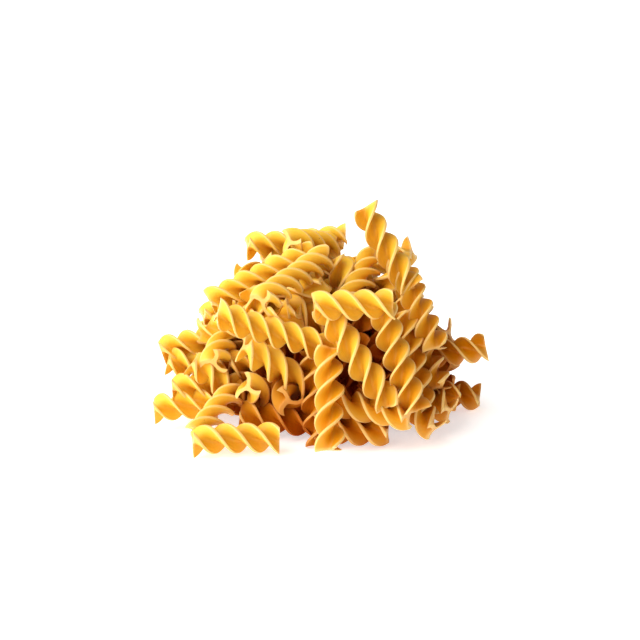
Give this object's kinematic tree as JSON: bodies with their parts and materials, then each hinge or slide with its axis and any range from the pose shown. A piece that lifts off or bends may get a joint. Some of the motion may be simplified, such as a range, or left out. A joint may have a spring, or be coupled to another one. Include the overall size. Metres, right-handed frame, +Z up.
{
  "type": "heap of dry fusilli pasta",
  "caption": "Loose heap of dry three-finned twisted pasta pieces, fused into one solid on a flat base.",
  "frame": {"origin": "centre of the heap's bounding box, on the surface that it lies on", "axes": "+Z up, +X to the right and -Y towards the viewer, as the picture shows the heap"},
  "size_m": [0.1102, 0.1034, 0.0742],
  "materials": {
    "dry_pasta": "matt dry durum wheat dough, pale along the fin edges"
  },
  "bodies": {
    "root": {"fusilli_heap": "dry_pasta"}
  },
  "joints": []
}
